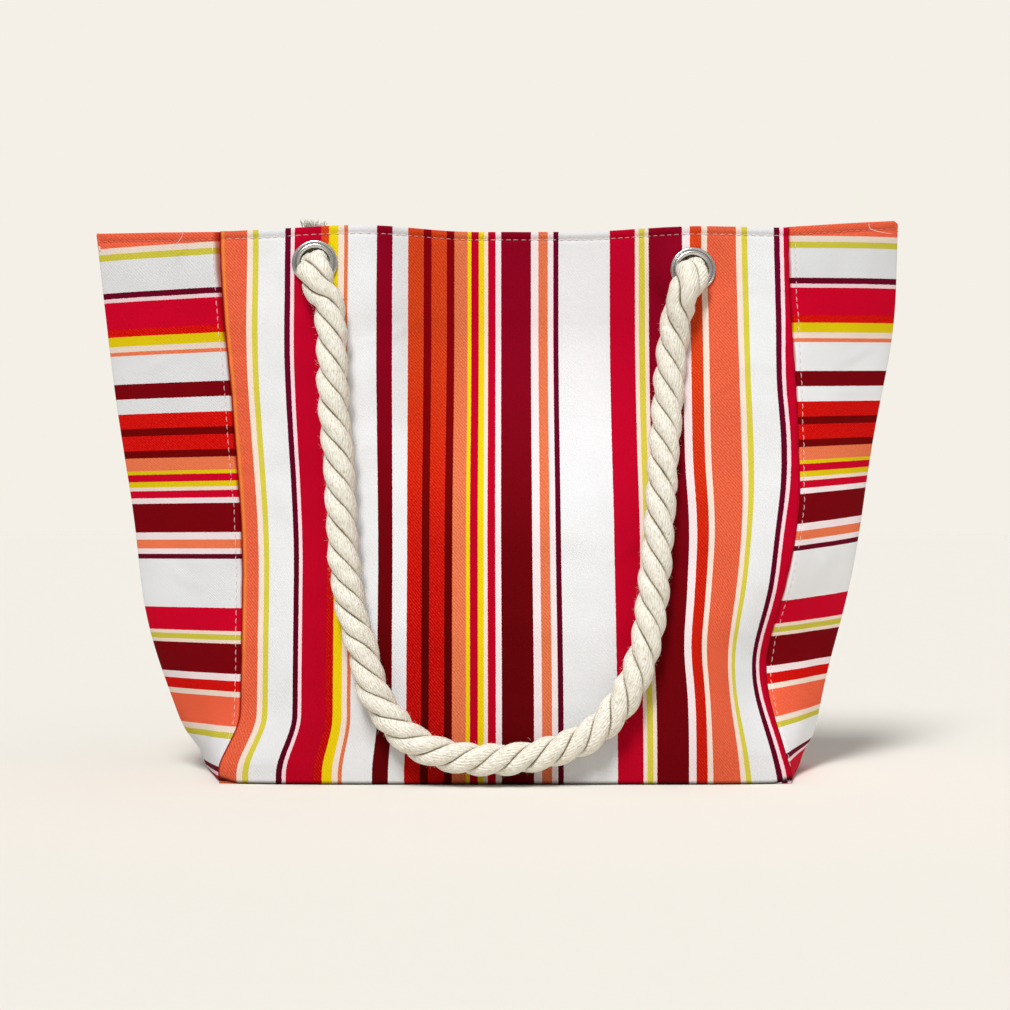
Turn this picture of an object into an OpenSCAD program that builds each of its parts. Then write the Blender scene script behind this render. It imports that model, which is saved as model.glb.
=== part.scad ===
// Striped canvas beach tote with splayed side gussets, a flat stiffened base
// and two thick rope handles that are knotted behind metal eyelets.
// Origin: middle of the bottom face. +X to the viewer's right, the front faces -Y, +Z up.

/* [Shell] */
// Height of the rim above the ground
bag_h = 368; // [330:1:400]
// Half width between the front seams at the base and at the rim
seam_half_base = 188; // [176:1:200]
seam_half_rim = 191; // [180:1:204]
// Half width at the gusset folds, at the base and at the rim
fold_half_base = 203; // [196:1:208]
fold_half_rim = 275; // [255:1:290]
// Half depth between the front and back seams, at the base and at the rim
half_depth_base = 88; // [80:1:95]
half_depth_rim = 40; // [34:1:48]
// How far the seams are drawn in sideways where the cloth slumps above the base
slump_in = 18.5; // [0:0.5:20]
// How far the seams are drawn backwards there
slump_back = 22; // [0:1:24]
// Height of the right side's slump
slump_z = 75; // [70:1:100]
// How far the right side's slump spreads up and down
slump_spread = 50; // [35:1:60]
// How far the panels stand proud of their side seams
panel_crown = 3; // [1:0.5:5]

/* [Mouth] */
// Half depth that is left where the snap draws the rim's middle together
pinch_half_depth = 6; // [6:0.5:12]
// Half width of the closed stretch, and where the pinch dies out
pinch_flat = 25; // [20:1:35]
pinch_reach = 108; // [90:1:112]

/* [Cloth] */
// Thickness of the outer canvas
canvas_t = 1.2; // [0.8:0.1:1.5]
// Thickness of the lining
lining_t = 0.6; // [0.4:0.1:0.8]
// Room between canvas and lining, where the snap's prong plates lie
lining_gap = 0.8; // [0.8:0.1:1.2]
// Thickness of the base board
board_t = 2; // [1.5:0.5:3]

/* [Eyelets] */
// Distance of each eyelet from the middle of the panel
eyelet_x = 126; // [118:1:135]
// Height of the eyelet centres
eyelet_z = 342; // [335:1:345]
// Radius of the hole in the eyelet
eyelet_bore_r = 10; // [9.9:0.1:10.5]
// Outer radius of the eyelet's face
eyelet_rim_r = 15.2; // [14:0.1:17]

/* [Rope] */
// Rope radius
rope_r = 9.7; // [9:0.1:9.7]
// Distance of the handle's swing axis in front of the eyelet's middle
swing_out = 14; // [13.5:0.5:16]
// Radius of the ring that a stopper knot forms, at its middle
knot_ring_r = 11.5; // [10:0.5:12]

/* [Snap] */
// Radius of the snap halves
snap_r = 9; // [8:0.5:10]

/* [Hidden] */

$fn = 48;

// Grid of each cloth sheet: columns over a panel, columns over a gusset, rows
panel_cols = 24;
gusset_cols = 6;
rows = 12;

// Rows lie closer together near the base, where the folds curve most
row_crowding = 1.2;

// Layers, as distances inward from the outer face
lining_o = canvas_t + lining_gap;
inner_o = lining_o + lining_t;

// Room that neighbouring sheets leave each other
sheet_gap = 0.2;

// Heights of the layers of the base
wall_z = canvas_t + sheet_gap;
board_z = wall_z;
base_lining_z = board_z + board_t + sheet_gap;
lining_z = base_lining_z + lining_t + sheet_gap;

// The base's inner cloth stays this much further inside than the wall linings
base_lining_inset = 1;

// The panels lean back from the base to the rim by this angle
lean = atan((half_depth_base - half_depth_rim) / bag_h);

// Eyelet section: room to the cloth, height of the face, wall of the barrel
eyelet_stand = 0.6;
eyelet_face_t = 1.8;
barrel_wall = 0.7;
hole_r = eyelet_bore_r + barrel_wall + 0.6;
washer_t = 0.6;

// Front handle's centre line at rest, as [x, z] on the left half and then the right half
rope_route = [
    [-126, 342], [-121, 329], [-116, 314], [-113, 283], [-112, 250], [-108, 208], [-106, 176],
    [-104, 147], [-101, 125], [-97, 106], [-91, 87], [-84, 61], [-71, 41], [-56, 28], [-38, 21],
    [-18, 18], [3, 18], [24, 21], [43, 27], [60, 37], [73, 51], [84, 69], [91, 90], [95, 112],
    [98, 140], [101, 170], [104, 208], [108, 250], [112, 290], [116, 314], [121, 329], [126, 342]
];

// Room between the hanging rope and the panel
rope_lift = 2;
rope_sides = 10;

function clamp01(v) = max(0, min(1, v));
function smooth01(v) = let (c = clamp01(v)) c * c * (3 - 2 * c);
// Slump of one side, side -1 on the left and 1 on the right: the left one reaches far up the seam
function slump_left(z) = (0.2 + 0.8 * smooth01((z - 8) / 44)) * (1 - smooth01((z - 120) / 260));
function slump_right(z) = exp(-pow((z - slump_z) / slump_spread, 2));
function slump(side, z) = side < 0 ? slump_left(z) : slump_right(z);

// Half width at a side's seam, half width at the fold and half depth at the seam
function seam_half(side, z) =
    seam_half_base + (seam_half_rim - seam_half_base) * z / bag_h - slump_in * slump(side, z);
function fold_half(z) = fold_half_base + (fold_half_rim - fold_half_base) * pow(z / bag_h, 0.6);
function lean_depth(z) = half_depth_base - (half_depth_base - half_depth_rim) * z / bag_h;
function seam_depth(side, z) = lean_depth(z) - slump_back * slump(side, z);

// Angle between the panel and the gusset's front half, seen from above
function splay(side, z) = atan2(seam_depth(side, z), fold_half(z) - seam_half(side, z));

// How much of the mouth's pinch is felt at height z, and at distance x from the middle
function pinch_up(z) = smooth01((z / bag_h - 0.42) / 0.41);
function pinch_across(x) = smooth01((pinch_reach - abs(x)) / (pinch_reach - pinch_flat));

// Half depth of the outer face of a panel at (x, z)
function panel_depth(x, z) =
    let (side = x < 0 ? -1 : 1,
         u = clamp01(abs(x) / seam_half(side, z)),
         full = seam_depth(side, z) + (panel_crown + slump_back * slump(side, z)) * (1 - pow(u, 6)))
    full - (full - pinch_half_depth) * pinch_up(z) * pinch_across(x);

// Point of the front panel, o inside the outer face
function panel_point(u, z, o) =
    let (side = u < 0 ? -1 : 1,
         edge = seam_half(side, z) - o * tan(splay(side, z) / 2) - sheet_gap)
    [u * edge, -panel_depth(u * seam_half(side, z), z) + o, z];

// Point of a side's gusset, o inside the outer face; v runs from -1 at one seam to 1 at the other
function gusset_point(side, v, z, o) =
    let (corner_x = seam_half(side, z) - o * tan(splay(side, z) / 2) + sheet_gap,
         corner_y = seam_depth(side, z) - o,
         fold_x = fold_half(z) - o / sin(splay(side, z)))
    side * [fold_x + (corner_x - fold_x) * abs(v), corner_y * v, side * z];

// A closed thin sheet from an outer and an inner grid of points, both row by row
module sheet(outer, inner, cols) {
    n = cols + 1;
    m = len(outer);
    last = m / n - 1;
    quads = concat(
        [for (r = [0 : last - 1], c = [0 : cols - 1])
            [r * n + c, r * n + c + 1, (r + 1) * n + c + 1, (r + 1) * n + c]],
        [for (r = [0 : last - 1], c = [0 : cols - 1])
            [m + r * n + c, m + (r + 1) * n + c, m + (r + 1) * n + c + 1, m + r * n + c + 1]],
        [for (c = [0 : cols - 1]) [c + 1, c, m + c, m + c + 1]],
        [for (c = [0 : cols - 1]) [last * n + c, last * n + c + 1, m + last * n + c + 1, m + last * n + c]],
        [for (r = [0 : last - 1]) [r * n, (r + 1) * n, m + (r + 1) * n, m + r * n]],
        [for (r = [0 : last - 1])
            [(r + 1) * n + cols, r * n + cols, m + r * n + cols, m + (r + 1) * n + cols]]);
    faces = [for (q = quads, half = [0, 1]) half == 0 ? [q[2], q[1], q[0]] : [q[3], q[2], q[0]]];
    polyhedron(points = concat(outer, inner), faces = faces);
}

// Heights of the rows that all wall sheets share, so that layers stay parallel; canvas has one more below
lining_rows = [for (r = [0 : rows]) lining_z + (bag_h - lining_z) * pow(r / rows, row_crowding)];
canvas_rows = concat([wall_z], lining_rows);

// One layer of the front wall, between the depths o0 and o1
module panel_layer(zs, o0, o1) {
    us = [for (c = [0 : panel_cols]) -1 + 2 * c / panel_cols];
    sheet([for (z = zs, u = us) panel_point(u, z, o0)],
          [for (z = zs, u = us) panel_point(u, z, o1)], panel_cols);
}

// One layer of a side's gusset
module gusset_layer(side, zs, o0, o1) {
    vs = [for (c = [0 : gusset_cols]) -1 + 2 * c / gusset_cols];
    sheet([for (z = zs, v = vs) gusset_point(side, v, z, o0)],
          [for (z = zs, v = vs) gusset_point(side, v, z, o1)], gusset_cols);
}

// Outline of the base, o inside the shell: the front edge, the right fold, the back edge, the left fold
module base_outline(o) {
    edge = [for (c = [0 : panel_cols]) panel_point(-1 + 2 * c / panel_cols, 0, o)];
    fold = fold_half_base - o;
    polygon(concat(
        [for (p = edge) [p[0], p[1]]],
        [[fold, 0]],
        [for (c = [panel_cols : -1 : 0]) [edge[c][0], -edge[c][1]]],
        [[-fold, 0]]));
}

// Places children at an eyelet: their +Z points out of the bag, square to the cloth
module at_eyelet(side, face) {
    eyelet_y = panel_depth(eyelet_x, eyelet_z);
    mirror([0, face == "front" ? 0 : 1, 0]) translate([side * eyelet_x, -eyelet_y, eyelet_z])
        rotate([90 - lean, 0, 0]) children();
}

module both_holes() {
    for (side = [-1, 1])
        at_eyelet(side, "front") translate([0, 0, -12]) cylinder(r = hole_r, h = 24);
}

module front_panel() {
    color("crimson") difference() {
        panel_layer(canvas_rows, 0, canvas_t);
        both_holes();
    }
}

module back_panel() {
    color("crimson") mirror([0, 1, 0]) difference() {
        panel_layer(canvas_rows, 0, canvas_t);
        both_holes();
    }
}

module right_gusset() {
    color("coral") gusset_layer(1, canvas_rows, 0, canvas_t);
}

module left_gusset() {
    color("coral") gusset_layer(-1, canvas_rows, 0, canvas_t);
}

module base_panel() {
    color("darkred") linear_extrude(canvas_t) base_outline(0);
}

module front_lining() {
    color("tan") difference() {
        panel_layer(lining_rows, lining_o, inner_o);
        both_holes();
    }
}

module back_lining() {
    color("tan") mirror([0, 1, 0]) difference() {
        panel_layer(lining_rows, lining_o, inner_o);
        both_holes();
    }
}

module right_lining() {
    color("burlywood") gusset_layer(1, lining_rows, lining_o, inner_o);
}

module left_lining() {
    color("burlywood") gusset_layer(-1, lining_rows, lining_o, inner_o);
}

module base_lining() {
    color("burlywood") translate([0, 0, base_lining_z]) linear_extrude(lining_t)
        base_outline(lining_o + base_lining_inset);
}

module base_board() {
    color("dimgray") translate([0, 0, board_z]) linear_extrude(board_t) base_outline(lining_o + 2);
}

// Eyelet: domed face ring outside, barrel through the cloth, lip rolled over the washer
module eyelet(side, face) {
    back = -inner_o - eyelet_stand - washer_t;
    bore = eyelet_bore_r;
    color("silver") at_eyelet(side, face) rotate_extrude() polygon([
        [bore, back - 1], [bore + 1, back - 1.6], [bore + 2.2, back - 1.4], [bore + 2.4, back - 0.1],
        [bore + barrel_wall, back - 0.1], [bore + barrel_wall, eyelet_stand],
        [eyelet_rim_r, eyelet_stand], [eyelet_rim_r, eyelet_stand + 0.5],
        [eyelet_rim_r - 1, eyelet_stand + eyelet_face_t - 0.3],
        [eyelet_rim_r - 2.2, eyelet_stand + eyelet_face_t],
        [bore + 1.2, eyelet_stand + eyelet_face_t], [bore, eyelet_stand + eyelet_face_t - 0.9]]);
}

// Washer between the lining and the eyelet's rolled lip
module washer(side, face) {
    color("gainsboro") at_eyelet(side, face) translate([0, 0, -inner_o - eyelet_stand - washer_t])
        difference() {
            cylinder(r = eyelet_rim_r, h = washer_t);
            translate([0, 0, -1]) cylinder(r = eyelet_bore_r + barrel_wall + 0.1, h = washer_t + 2);
        }
}

// Rope end: stub through the eyelet, ring of the stopper knot, tail that leaves it at an angle
module knot(side, face, tail_turn, tail_len) {
    front_end = eyelet_stand + eyelet_face_t;
    knot_mid = -inner_o - eyelet_stand - washer_t - 2.2 - rope_r;
    color("ivory") at_eyelet(side, face) {
        translate([0, 0, knot_mid]) cylinder(r = rope_r, h = front_end - knot_mid);
        translate([0, 0, knot_mid]) rotate_extrude() translate([knot_ring_r, 0]) circle(r = rope_r);
        translate([0, 0, knot_mid]) rotate([0, 0, tail_turn]) rotate([-90, 0, 0])
            cylinder(r = rope_r - 0.4, h = tail_len);
    }
}

// Magnetic snap: socket disc on the front lining, stud disc with a nose on the back lining
snap_z = 345;
snap_face = pinch_half_depth - inner_o - 0.1;
nose_r = 4;
nose_h = 1.6;
plate_y = pinch_half_depth - canvas_t - 0.1;

module snap_socket() {
    color("silver") translate([0, 0, snap_z]) rotate([90, 0, 0]) difference() {
        translate([0, 0, 0.1]) cylinder(r = snap_r, h = snap_face - 0.1);
        cylinder(r = nose_r + 0.2, h = nose_h + 0.3);
    }
}

module snap_stud() {
    color("silver") translate([0, 0, snap_z]) rotate([-90, 0, 0]) {
        cylinder(r = snap_r, h = snap_face);
        translate([0, 0, -nose_h]) cylinder(r = nose_r, h = nose_h + 0.1);
    }
}

module snap_plate(turn) {
    plate_t = lining_gap - 0.2;
    color("gray") rotate([0, 0, turn]) translate([0, -plate_y, snap_z]) rotate([-90, 0, 0])
        cylinder(r = snap_r - 1, h = plate_t);
}

module snap_socket_plate() {
    snap_plate(0);
}

module snap_stud_plate() {
    snap_plate(180);
}

// Handle: centre line follows the panel and ends on the swing axis
swing_y = panel_depth(eyelet_x, eyelet_z) + swing_out;

function rope_y(p) =
    let (near = smooth01((p[1] - 290) / 40),
         hang = panel_depth(p[0], p[1]) + rope_r + rope_lift)
    -(hang + (swing_y - hang) * near);

rope_line = [for (p = rope_route) [p[0], rope_y(p), p[1]]];
rope_last = len(rope_line) - 1;

function unit(v) = v / norm(v);
function heading(i) = unit(rope_line[min(i + 1, rope_last)] - rope_line[max(i - 1, 0)]);

// Ring of points square to the rope at its point i, moved along it by shift
function ring(i, r, shift) =
    let (along = heading(i),
         across = unit(cross([0, -1, 0], along)),
         up = cross(along, across))
    [for (k = [0 : rope_sides - 1])
        let (turn = 360 * k / rope_sides)
        rope_line[i] + shift * along + r * (cos(turn) * across + sin(turn) * up)];

// The tube's rings as [point, radius, shift]: two more at each end round it off
rope_rings = concat(
    [for (a = [70, 40]) [0, rope_r * cos(a), -rope_r * sin(a)]],
    [for (i = [0 : rope_last]) [i, rope_r, 0]],
    [for (a = [40, 70]) [rope_last, rope_r * cos(a), rope_r * sin(a)]]);

module rope_loop() {
    n = rope_sides;
    last = len(rope_rings) - 1;
    points = [for (g = rope_rings, p = ring(g[0], g[1], g[2])) p];
    faces = concat(
        [[for (k = [0 : n - 1]) k]],
        [for (i = [0 : last - 1], k = [0 : n - 1], half = [0, 1])
            let (a = i * n + k, b = i * n + (k + 1) % n)
            half == 0 ? [a, a + n, b + n] : [a, b + n, b]],
        [[for (k = [n - 1 : -1 : 0]) last * n + k]]);
    polyhedron(points = points, faces = faces);
}

module front_rope() {
    color("ivory") rope_loop();
}

module back_rope() {
    color("ivory") mirror([0, 1, 0]) rope_loop();
}

front_panel();
back_panel();
left_gusset();
right_gusset();
base_panel();
front_lining();
back_lining();
left_lining();
right_lining();
base_lining();
base_board();
eyelet(-1, "front");  // front_left_eyelet
eyelet(1, "front");  // front_right_eyelet
eyelet(-1, "back");  // back_left_eyelet
eyelet(1, "back");  // back_right_eyelet
washer(-1, "front");  // front_left_washer
washer(1, "front");  // front_right_washer
washer(-1, "back");  // back_left_washer
washer(1, "back");  // back_right_washer
snap_socket();
snap_stud();
snap_socket_plate();
snap_stud_plate();
knot(-1, "front", 8, 36);  // front_left_knot
knot(1, "front", 160, 30);  // front_right_knot
knot(-1, "back", 200, 30);  // back_left_knot
knot(1, "back", 160, 30);  // back_right_knot
front_rope();
back_rope();
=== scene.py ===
"""Striped canvas beach tote with splayed gussets, metal eyelets and thick laid rope handles.

Metres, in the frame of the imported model: origin in the middle of the base, +X to the viewer's right,
the front faces -Y, +Z up. The cloth is built as lofted sheets, the ropes as three laid strands.
"""

import math

import bmesh
import bpy
import numpy as np
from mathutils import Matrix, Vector


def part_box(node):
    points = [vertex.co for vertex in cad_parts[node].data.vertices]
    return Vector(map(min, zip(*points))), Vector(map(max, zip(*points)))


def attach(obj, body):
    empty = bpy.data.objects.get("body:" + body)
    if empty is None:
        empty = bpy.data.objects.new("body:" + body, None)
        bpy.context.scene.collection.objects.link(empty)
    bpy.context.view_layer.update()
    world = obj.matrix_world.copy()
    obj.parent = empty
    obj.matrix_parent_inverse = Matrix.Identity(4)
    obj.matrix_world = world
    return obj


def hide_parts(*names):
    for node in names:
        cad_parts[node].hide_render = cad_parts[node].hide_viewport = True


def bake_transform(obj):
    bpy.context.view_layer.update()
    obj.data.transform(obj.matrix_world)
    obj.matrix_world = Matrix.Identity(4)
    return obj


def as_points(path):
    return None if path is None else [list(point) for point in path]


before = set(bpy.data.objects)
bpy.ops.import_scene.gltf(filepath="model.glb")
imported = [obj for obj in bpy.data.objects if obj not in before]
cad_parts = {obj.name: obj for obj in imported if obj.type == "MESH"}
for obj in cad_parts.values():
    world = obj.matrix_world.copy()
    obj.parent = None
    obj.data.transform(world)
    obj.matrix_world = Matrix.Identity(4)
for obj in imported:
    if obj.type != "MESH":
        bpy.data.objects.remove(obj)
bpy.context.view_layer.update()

# ---------------------------------------------------------------- sizes, from the frame

PANEL_LO, PANEL_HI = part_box("front_panel")
BASE_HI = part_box("base_panel")[1]
EYELET_LO, EYELET_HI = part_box("front_right_eyelet")

RIM_Z = PANEL_HI.z
SEAM_HALF = (PANEL_HI.x - PANEL_LO.x) / 2  # half width of a panel at the rim
FOLD_BASE = BASE_HI.x  # half width at the gusset folds, at the base
DEPTH_BASE = BASE_HI.y - 0.003  # half depth at the seams, at the base
DEPTH_RIM = 0.040  # half depth at the seams, at the rim
EYELET_X = (EYELET_LO.x + EYELET_HI.x) / 2
EYELET_Z = {-1: 0.3422, 1: 0.3378}  # the right one sits a little lower
EYELET_BORE = 0.010
EYELET_RIM = 0.0152  # outer radius of an eyelet and of its washer
EYELET_BACK = -0.0046  # how far the washer lies inside the panel's outer face
CLOTH_HOLE = 0.0122  # radius of the hole in the cloth behind an eyelet
CANVAS = 0.0012  # thickness of the printed cloth
LINING = 0.0006  # thickness of the lining
LINING_IN = 0.0022  # how far the lining lies inside the outer face
GUSSET_HALF = 0.090  # half width of a gusset laid flat
ROPE_R = 0.0097  # radius of a rope, over its strands

# The left fold reaches a little further out than the right one
FOLD_RIM = {-1: 0.280, 1: 0.2695}

FACES = {"front": -1, "back": 1}  # towards -Y and +Y
SIDES = {"left": -1, "right": 1}  # towards -X and +X
SEEDS = {"front": 11, "back": 31, "left": 51, "right": 71}

# ---------------------------------------------------------------- camera, floor and light


def camera():
    data = bpy.data.cameras.new("camera")
    data.sensor_width = 36
    data.lens = 77.8
    cam = bpy.data.objects.new("camera", data)
    cam.location = (0.0006, -1.5, 0.181)
    cam.rotation_euler = (math.radians(90), 0, 0)
    bpy.context.scene.collection.objects.link(cam)
    bpy.context.scene.camera = cam


def srgb(r, g, b):
    """Linear colour from 0-255 display values."""
    def lin(v):
        v /= 255
        return v / 12.92 if v <= 0.04045 else ((v + 0.055) / 1.055) ** 2.4
    return (lin(r), lin(g), lin(b), 1.0)


BACKDROP = srgb(244, 240, 231)
SUNS = [(28, 0.85), (37, 1.00), (46, 0.90)]  # (degrees from straight down, strength) of a tall light's parts
SKY_LOW, SKY_RISE = 0.34, 0.34  # sky at the horizon and its gain overhead
SKY_DIM, SKY_SIDE = 0.26, 0.60  # its loss at both sides, and the lean of its brightness to the right
FLOOR_CATCH = 0.92  # share of that light an open floor gives back


def light():
    """A soft front light from the upper left, and a sky that is brighter overhead and to the right."""
    world = bpy.data.worlds.new("studio")
    bpy.context.scene.world = world
    world.use_nodes = True
    n = Tree(world.node_tree)
    n.tree.nodes.clear()
    place = n.add("ShaderNodeSeparateXYZ")
    n.wire(n.add("ShaderNodeTexCoord").outputs["Generated"], place.inputs[0])
    rise = n.math("MAXIMUM", place.outputs[2], 0.0)
    aside = n.math("ABSOLUTE", place.outputs[0])
    sky = n.line(rise, SKY_RISE, SKY_LOW)
    lean = n.line(place.outputs[0], SKY_SIDE, 1.0)
    lit = n.add("ShaderNodeBackground")
    n.feed(lit.inputs["Strength"], sky * n.line(aside, -SKY_DIM, lean))
    seen = n.add("ShaderNodeBackground")
    seen.inputs["Color"].default_value = BACKDROP
    mix = n.add("ShaderNodeMixShader")
    n.wire(n.add("ShaderNodeLightPath").outputs["Is Camera Ray"], mix.inputs[0])
    n.wire(lit.outputs[0], mix.inputs[1])
    n.wire(seen.outputs[0], mix.inputs[2])
    n.wire(mix.outputs[0], n.add("ShaderNodeOutputWorld").inputs["Surface"])

    for number, (tilt, strength) in enumerate(SUNS):
        data = bpy.data.lights.new(f"key_{number}", "SUN")
        data.energy = strength
        data.angle = math.radians(12)
        sun = bpy.data.objects.new(f"key_{number}", data)
        sun.rotation_euler = (math.radians(tilt), 0, math.radians(-16))
        bpy.context.scene.collection.objects.link(sun)
    scene = bpy.context.scene
    scene.view_settings.view_transform = "Standard"
    scene.view_settings.look = "None"


def floor():
    """A wide pale floor whose open parts come out as bright as the backdrop."""
    size = 12.0
    mesh = bpy.data.meshes.new("floor")
    corners = [(-size, -size, 0), (size, -size, 0), (size, size, 0), (-size, size, 0)]
    mesh.from_pydata(corners, [], [(0, 1, 2, 3)])
    obj = bpy.data.objects.new("floor", mesh)
    bpy.context.scene.collection.objects.link(obj)
    mat = bpy.data.materials.new("floor")
    mat.use_nodes = True
    n = Tree(mat.node_tree)
    n.tree.nodes.clear()
    diffuse = n.add("ShaderNodeBsdfDiffuse")
    # Mean of the sky over the floor's hemisphere, each direction weighed by its cosine
    sky = SKY_LOW * (1 - 0.4244 * SKY_DIM) + SKY_RISE * (0.6667 - 0.25 * SKY_DIM)
    sun = sum(strength * math.cos(math.radians(tilt)) for tilt, strength in SUNS) / math.pi
    diffuse.inputs["Color"].default_value = (*[c / (sky + sun) / FLOOR_CATCH for c in BACKDROP[:3]], 1)
    n.wire(diffuse.outputs[0], n.add("ShaderNodeOutputMaterial").inputs["Surface"])
    mesh.materials.append(mat)


# ---------------------------------------------------------------- small helpers


def smooth(v):
    c = np.clip(v, 0, 1)
    return c * c * (3 - 2 * c)


def bump(v, at, width):
    return np.exp(-(((v - at) / width) ** 2))


def ripple(u, v, wave, seed, parts=7):
    """Smooth seeded unevenness of about unit size, with waves about wave long."""
    rng = np.random.default_rng(seed)
    total = np.zeros(np.broadcast(u, v).shape)
    for _ in range(parts):
        turn, phase = rng.uniform(0, math.tau, 2)
        k = math.tau / (wave * rng.uniform(0.7, 1.5))
        total += np.sin(k * (math.cos(turn) * u + math.sin(turn) * v) + phase)
    return total / math.sqrt(parts)


def mesh_object(name, points, faces, attributes=None):
    """A mesh piece; attributes maps a name to one vector of three numbers per point."""
    mesh = bpy.data.meshes.new(name)
    mesh.from_pydata([tuple(p) for p in np.reshape(points, (-1, 3))], [], [tuple(f) for f in faces])
    for key, values in (attributes or {}).items():
        layer = mesh.attributes.new(key, "FLOAT_VECTOR", "POINT")
        layer.data.foreach_set("vector", np.asarray(values, np.float32).ravel())
    mesh.polygons.foreach_set("use_smooth", [True] * len(mesh.polygons))
    mesh.update()
    obj = bpy.data.objects.new(name, mesh)
    bpy.context.scene.collection.objects.link(obj)
    return obj


def grid_faces(rows, cols, close=False):
    faces = []
    wide = cols if close else cols - 1
    for r in range(rows - 1):
        for c in range(wide):
            d = (c + 1) % cols
            faces.append((r * cols + c, r * cols + d, (r + 1) * cols + d, (r + 1) * cols + c))
    return faces


def tube_faces(rows, cols):
    """Faces of a tube of rings, closed at both ends."""
    near, far = tuple(range(cols))[::-1], tuple((rows - 1) * cols + i for i in range(cols))
    return grid_faces(rows, cols, close=True) + [near, far]


def facing(faces, turned):
    return [f[::-1] for f in faces] if turned else faces


def stack(x, y, z):
    return np.stack(np.broadcast_arrays(x, y, z), axis=-1)


def travelled(line):
    """Distance along the line to each of its points."""
    return np.concatenate([[0], np.cumsum(np.linalg.norm(np.diff(line, axis=0), axis=1))])


def tube(line, side, up, radius, sides):
    """Points of a round tube; radius has one value per point of the line."""
    ring = np.linspace(0, math.tau, sides, endpoint=False)
    return (line[:, None, :] + side[:, None, :] * (np.cos(ring)[None, :] * radius[:, None])[:, :, None]
            + up[:, None, :] * (np.sin(ring)[None, :] * radius[:, None])[:, :, None])


def join(pieces):
    """One (points, faces, attribute) from several."""
    points, faces, marks, start = [], [], [], 0
    for p, f, a in pieces:
        points.append(np.reshape(p, (-1, 3)))
        marks.append(np.reshape(a, (-1, 3)))
        faces += [tuple(i + start for i in face) for face in f]
        start += len(points[-1])
    return np.concatenate(points), faces, np.concatenate(marks)


def fit_out(obj, material, node=None):
    """Gives a piece of the bag its material and slot, and lets it stand for a CAD node."""
    obj.data.materials.append(MATERIALS[material])
    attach(obj, "bag")
    if node:
        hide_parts(node)
    return obj


# ---------------------------------------------------------------- shape of the bag

CLOTH_W = 2 * SEAM_HALF  # printed width of a panel at the rim


def trim_left(z):
    """Print lost at the left seam below the rim, where the cut tapers."""
    return 0.0068 * (1 - smooth((z - 0.250) / 0.120))


def draw_left(z):
    """How far the left seam is drawn in, over what the cut takes away."""
    rise = smooth((z - 0.006) / 0.038)
    return 0.0096 * rise * (1 - smooth((z - 0.130) / 0.170)) - 0.002 * (1 - rise)


def draw_right(z):
    return 0.0168 * bump(z, 0.070, 0.054) - 0.0035 * bump(z, 0.240, 0.060) - 0.0030 * bump(z, 0.185, 0.035)


def printed_place(u, z):
    """Place in the print of a panel's cloth line u: the print wanders a little beside the right seam."""
    from_right = CLOTH_W - u
    at_seam = (0.0030 * bump(z, 0.262, 0.035) + 0.0050 * bump(z, 0.165, 0.042)
               + 0.0022 * bump(z, 0.080, 0.032)) * (1 - smooth(from_right / 0.050))
    beside = 0.0024 * bump(z, 0.165, 0.035) - 0.0027 * bump(z, 0.088, 0.025)
    beside = beside * bump(from_right, 0.062, 0.030)
    low = 0.0017 * smooth((u - 0.140) / 0.120) * (1 - smooth((z - 0.040) / 0.150))
    low = low * (1 - smooth((u - 0.285) / 0.040))
    return u + at_seam - beside - low


def slump_left(z):
    return (0.2 + 0.8 * smooth((z - 0.008) / 0.044)) * (1 - smooth((z - 0.120) / 0.260))


def slump_right(z):
    return bump(z, 0.075, 0.050)


LEAN = math.atan((DEPTH_BASE - DEPTH_RIM) / RIM_Z)
SLUMP_BACK = 0.022
CROWN = 0.003


def half_depth(z):
    return DEPTH_BASE - (DEPTH_BASE - DEPTH_RIM) * z / RIM_Z


def tuck(z):
    """How far the walls round in towards the base's edge."""
    return 0.0016 * np.clip(1 - z / 0.024, 0, 1) ** 2 + 0.0014 * np.clip(1 - z / 0.0022, 0, 1) ** 2


def panel_x(u, z):
    """Where the print's line u, measured from the left seam at the rim, lies across the bag."""
    from_left = u - trim_left(z)
    from_right = CLOTH_W - u
    return (u - CLOTH_W / 2 + draw_left(z) * (1 - smooth(from_left / 0.150))
            - draw_right(z) * (1 - smooth(from_right / 0.068)))


def pinch(x, z):
    up = smooth((z / RIM_Z - 0.42) / 0.41)
    left = smooth((x + 0.095) / 0.075)
    right = 1 - smooth((x - 0.045) / 0.100)
    return up * left * right


def panel_depth(u, z):
    """Half depth of a panel's outer face, without its small unevenness."""
    x = panel_x(u, z)
    left = np.clip(1 - (u - trim_left(z)) / 0.075, 0, 1) ** 1.7
    right = np.clip(1 - (CLOTH_W - u) / 0.070, 0, 1) ** 1.7
    mid = 1 - np.abs(2 * (u - CLOTH_W / 2) / CLOTH_W) ** 6
    full = half_depth(z) + CROWN * mid - SLUMP_BACK * (slump_left(z) * left + slump_right(z) * right)
    return full - (full - 0.0070) * pinch(x, z) - tuck(z)


def depth_at(x, z):
    """Half depth of a panel at one place across the cloth."""
    return float(panel_depth(np.array(x + CLOTH_W / 2), np.array(z)))


def seam_point(side, z):
    """(x, half depth) of a side's seam."""
    z = np.asarray(z, float)
    u = trim_left(z) if side < 0 else np.full(z.shape, CLOTH_W)
    return panel_x(u, z), panel_depth(u, z)


# How a gusset's fold sways outwards: (height, half length, distance) of each bend
SWAY = {
    -1: [(0.105, 0.055, 0.0060), (0.240, 0.090, 0.0022), (0.013, 0.011, -0.0045)],
    1: [(0.300, 0.055, 0.0056), (0.060, 0.050, -0.0048), (0.011, 0.010, -0.0035)],
}


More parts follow.
